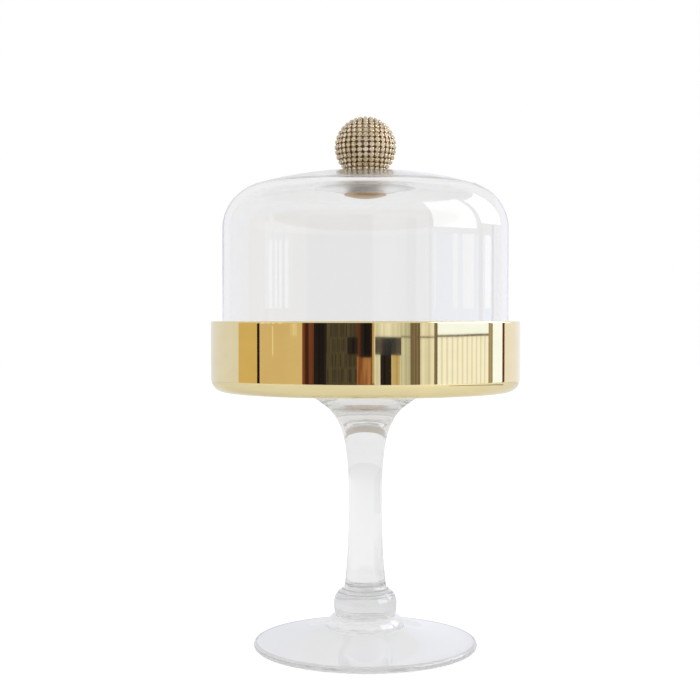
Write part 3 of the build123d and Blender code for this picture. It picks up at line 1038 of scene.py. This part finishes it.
class CAKESTAND_OT_room(bpy.types.Operator):
    """Stand the walls, shelves and windows that the plating and the glass mirror"""

    bl_idname = "cakestand.room"
    bl_label = "Room"

    def execute(self, context):
        r = context.scene.cake_stage.room
        near = r * 0.97
        wall_top = 0.5
        curtain_top = 0.4
        window_top = 0.27
        post_break = 0.112
        box_foot = 0.116
        rail_foot = 0.139
        rail_top = 0.142
        gap_foot = 0.175  # bright gaps that the dome mirrors
        ochre = glow_grained("ochre_panel", (0.73, 0.54, 0.24), (0.78, 0.58, 0.27), 1.2, (1, 1, 0.3))
        straw = glow_grained("straw_panel", (0.74, 0.58, 0.34), (0.8, 0.64, 0.39), 1.2, (1, 1, 0.3))
        shine = glow_grained("panel_shine", (0.8, 0.66, 0.4), (0.95, 0.85, 0.65), 40.0, (1, 1, 0.1))
        wood = glow_grained("brown_wood", (0.06, 0.022, 0.015), (0.22, 0.078, 0.05), 16.0, (1, 1, 0.08))
        oak = glow_grained("oak_post", (0.24, 0.088, 0.045), (0.46, 0.24, 0.12), 22.0, (1, 1, 0.6))
        dark = glow_grained("dark_corner", (0.01, 0.009, 0.014), (0.03, 0.024, 0.026), 20.0, (1, 1, 0.1))
        navy = glow_grained("dark_box", (0.035, 0.038, 0.06), (0.11, 0.1, 0.11), 8.0, (1, 1, 0.4))
        books = glow_shelves("bookshelf", (0.04, 0.034, 0.026), (0.18, 0.152, 0.12))
        olive = glow_grained("olive_curtain", (0.16, 0.13, 0.09), (0.27, 0.22, 0.17), 30.0, (1, 1, 0.03))
        dusk = glow_grained("pale_curtain", (0.54, 0.55, 0.52), (0.74, 0.77, 0.74), 24.0, (1, 1, 0.03))
        pale = glow_grained("pale_wall", (0.74, 0.75, 0.74), (0.98, 1.0, 1.06), 14.0, (1, 1, 0.08))
        tan = glow_grained("tan_box", (0.52, 0.4, 0.2), (0.7, 0.6, 0.38), 20.0, (1, 1, 0.1))
        blind = glow_slats("window_blind", (1.1, 1.18, 1.42), (0.92, 0.92, 0.95), 83.0, 0.42)
        sky = glow("window_sky", (1.15, 1.34, 1.9))
        bright = glow("window_pane", (0.95, 0.98, 1.0), 4.8)
        strip = glow_grained("frame_strip", (0.3, 0.25, 0.17), (0.5, 0.43, 0.33), 20.0, (1, 1, 0.1))
        streak = glow("bright_gap", (1.0, 0.99, 0.97), 2.3)
        haze = glow("window_haze", (1.0, 1.0, 1.0), 1.35)
        wall = glow("side_wall", (0.97, 0.98, 1.08))
        soft = glow("wall_shade", (0.84, 0.85, 0.92))
        room_surface("wall_left", r, -180, -103, 0.0, wall_top, soft)
        room_surface("panel_left", r, -103, -83, 0.0, wall_top, ochre)
        room_surface("panel_gap", r, -83, -80.5, 0.0, wall_top, dark)
        room_surface("panel_right", r, -80.5, -45, 0.0, wall_top, straw)
        room_surface("shine_high", near, -69, -68, 0.115, 0.152, shine)
        room_surface("shine_low", near, -54, -49, 0.14, 0.157, shine)
        room_surface("door_frame", r, -45, -36.5, 0.0, wall_top, wood)
        room_surface("doorway", r, -36.5, -27.5, 0.0, wall_top, dark)
        room_surface("shelves", r, -27.5, -6.5, 0.0, wall_top, books)
        room_surface("shelf_box", near, -13, -6, box_foot, 0.138, dark)
        room_surface("post_foot", r, -6.5, 5.5, 0.0, post_break, oak)
        room_surface("post_head", r, -6.5, 5.5, post_break, wall_top, wood)
        room_surface("post_shade", near, -4, 3, post_break, wall_top, dark)
        room_surface("post_edge", near, 4, 5.5, 0.08, wall_top, tan)
        room_surface("wall_behind", r, 5.5, 23.5, 0.0, wall_top, pale)
        room_surface("long_box", near, 6, 24, box_foot, rail_foot, navy)
        room_surface("box_leg", near, 9.5, 17, 0.0, box_foot, dark)
        room_surface("tan_box", near, 17, 23, 0.0, box_foot, tan)
        room_surface("wall_beside", r, 23.5, 30.5, 0.0, curtain_top, dusk)
        room_surface("curtain", r, 30.5, 37.5, 0.0, curtain_top, olive)
        room_surface("wall_right", r, 37.5, 48, 0.0, curtain_top, pale)
        room_surface("window_frame", r, 48, 50.5, 0.0, curtain_top, olive)
        room_surface("blind_low", r, 50.5, 97, 0.0, rail_foot, blind)
        room_surface("blind_rail", r, 50.5, 97, rail_foot, rail_top, olive)
        room_surface("blind_high", r, 50.5, 97, rail_top, window_top, sky)
        room_surface("frame_right", r, 97, 102, 0.0, 0.3, strip)
        room_surface("white_wall", r, 102, 115, 0.0, window_top, sky)
        room_surface("frame_far", r, 115, 118.5, 0.0, 0.3, wood)
        room_surface("wall_far", r, 118.5, 180, 0.0, 0.6, wall)
        room_surface("rail_near", near, 24, 50.5, 0.1385, 0.1405, olive)
        room_surface("low_board", r * 0.4, 58, 116, 0.0, 0.022, wood)
        room_surface("pane_near", r, 52, 94, 0.28, 1.25, bright)
        room_surface("pane_far", r, 100, 132, 0.3, 1.1, bright)
        room_surface("haze", r, -84, -57, gap_foot, 0.31, haze)
        for name, start, end in (
            ("streak_a", -79.5, -76),
            ("streak_b", -73.5, -71.5),
            ("streak_c", -69, -67),
            ("streak_d", -64, -61),
        ):
            room_surface(name, near, start, end, gap_foot, 0.262, streak)
        for name, start, end in (
            ("gap_a", 52.5, 54),
            ("gap_b", 69, 74),
            ("gap_c", 79, 91),
            ("gap_d", 105, 113),
        ):
            room_surface(name, near, start, end, gap_foot, window_top, streak)
        return {"FINISHED"}


def floor_material():
    """Matt white floor. It glows a little where it is seen, and keeps the shadow it catches."""
    made, tree = blank_material("white_floor")
    matt = put(tree, "ShaderNodeBsdfDiffuse", Color=(0.82, 0.82, 0.82, 1.0))
    rays = put(tree, "ShaderNodeLightPath").outputs
    seen = level_range(tree, rays["Is Camera Ray"], 0.0, 0.42)
    mirrored = level_range(tree, rays["Is Glossy Ray"], 0.0, 0.04)
    through = level_range(tree, rays["Is Transmission Ray"], 0.0, 0.2)
    total = calculate(tree, "ADD", seen, calculate(tree, "MAXIMUM", mirrored, through))
    glowing = put(tree, "ShaderNodeEmission", Color=(0.97, 0.985, 1.0, 1.0), Strength=total)
    both = tree.nodes.new("ShaderNodeAddShader")
    tree.links.new(matt.outputs[0], both.inputs[0])
    tree.links.new(glowing.outputs[0], both.inputs[1])
    show(tree, both.outputs[0])
    return made


def world_light(s):
    """White all round for the camera, and a plain level for what glass, plating and matt see."""
    world = bpy.data.worlds.new("studio")
    bpy.context.scene.world = world
    world.use_nodes = True
    tree = world.node_tree
    tree.nodes.clear()
    rays = put(tree, "ShaderNodeLightPath").outputs
    place = put(tree, "ShaderNodeTexCoord")
    way = put(tree, "ShaderNodeSeparateXYZ", Vector=place.outputs["Generated"])
    depth = put(
        tree,
        "ShaderNodeMapRange",
        Value=way.outputs["Y"],
        From_Min=-0.7,
        From_Max=0.25,
        To_Min=s.dim,
        To_Max=s.backdrop,
    )
    white, matt, gloss, through = (
        put(tree, "ShaderNodeBackground", Color=(1.0, 1.0, 1.0, 1.0), Strength=strength).outputs[0]
        for strength in (1.0, s.ambient, s.mirrored, depth.outputs["Result"])
    )
    mixed = mix_shaders(tree, rays["Is Glossy Ray"], matt, gloss)
    mixed = mix_shaders(tree, rays["Is Transmission Ray"], mixed, through)
    mixed = mix_shaders(tree, rays["Is Camera Ray"], mixed, white)
    put(tree, "ShaderNodeOutputWorld", Surface=mixed)


def soft_lamp(name, place, aim, size, power):
    """A soft square lamp that gloss doesn't show, so that the room's own windows do."""
    data = bpy.data.lights.new(name, "AREA")
    data.size = size
    data.energy = power
    made = bpy.data.objects.new(name, data)
    made.location = place
    made.rotation_euler = (aim - place).to_track_quat("-Z", "Y").to_euler()
    made.visible_glossy = False
    made.visible_transmission = False
    made.visible_camera = False
    bpy.context.scene.collection.objects.link(made)


class CAKESTAND_OT_stage(bpy.types.Operator):
    """Set the floor, the light, the world and the camera"""

    bl_idname = "cakestand.stage"
    bl_label = "Stage"

    def execute(self, context):
        s = context.scene.cake_stage
        bm = bmesh.new()
        bmesh.ops.create_circle(bm, cap_ends=True, segments=96, radius=4.0)
        lift(bm, bm.verts, -0.3 * MM)
        floor = make_object(bm, "white_floor", [floor_material()])
        world_light(s)
        middle = Vector((0.0, 0.0, (CAD_BOUNDS[0][2] + CAD_BOUNDS[1][2]) / 2))
        soft_lamp("window_lamp", Vector((1.1, -0.7, 1.0)), middle, 0.9, 9.0)
        soft_lamp("fill_lamp", Vector((-1.2, -0.6, 0.7)), middle, 0.9, 3.0)
        data = bpy.data.cameras.new("camera")
        data.lens = s.lens
        data.sensor_width = 36.0
        data.clip_start = 0.01
        camera = bpy.data.objects.new("camera", data)
        camera.location = (-s.side_step, -s.distance, DISH_HIGH.z + 0.3 * MM)
        camera.rotation_euler = (pi / 2 - s.tilt, 0.0, 0.0)
        context.scene.collection.objects.link(camera)
        context.scene.camera = camera
        context.scene.view_settings.view_transform = "Standard"
        light_paths = context.scene.cycles  # thick clear glass turns light inside it many times
        light_paths.max_bounces = 32
        light_paths.glossy_bounces = 24
        light_paths.transmission_bounces = 24
        return {"FINISHED"}


# ---- Panel and registration ----------------------------------------------------------------
STEPS = (
    CAKESTAND_OT_stage,
    CAKESTAND_OT_room,
    CAKESTAND_OT_foot,
    CAKESTAND_OT_stem,
    CAKESTAND_OT_bonds,
    CAKESTAND_OT_dish,
    CAKESTAND_OT_dome,
    CAKESTAND_OT_fixing,
    CAKESTAND_OT_cup_chain,
    CAKESTAND_OT_stones,
)
SETTINGS = {
    "cake_stand": StandSettings,
    "cake_dish": DishSettings,
    "cake_dome": DomeSettings,
    "cake_knob": KnobSettings,
    "cake_stage": StageSettings,
}


class CAKESTAND_PT_panel(bpy.types.Panel):
    """Lists the steps and the sizes of the cake stand"""

    bl_idname = "CAKESTAND_PT_panel"
    bl_label = "Cake Stand"
    bl_space_type = "VIEW_3D"
    bl_region_type = "UI"
    bl_category = "Cake Stand"

    def draw(self, context):
        for step in STEPS:
            self.layout.operator(step.bl_idname, text=step.bl_label)
        for name, group in SETTINGS.items():
            box = self.layout.box()
            box.label(text=group.__doc__)
            for key in group.__annotations__:
                box.prop(getattr(context.scene, name), key)


CLASSES = (*SETTINGS.values(), *STEPS, CAKESTAND_PT_panel)


def register():
    for cls in CLASSES:
        bpy.utils.register_class(cls)
    for name, group in SETTINGS.items():
        setattr(bpy.types.Scene, name, PointerProperty(type=group))


def unregister():
    for name in SETTINGS:
        delattr(bpy.types.Scene, name)
    for cls in reversed(CLASSES):
        bpy.utils.unregister_class(cls)


def main():
    register()
    bpy.ops.cakestand.stage()
    bpy.ops.cakestand.room()
    bpy.ops.cakestand.foot()
    bpy.ops.cakestand.stem()
    bpy.ops.cakestand.bonds()
    bpy.ops.cakestand.dish()
    bpy.ops.cakestand.dome()
    bpy.ops.cakestand.fixing()
    bpy.ops.cakestand.cup_chain()
    bpy.ops.cakestand.stones()


if __name__ == "__main__":
    main()
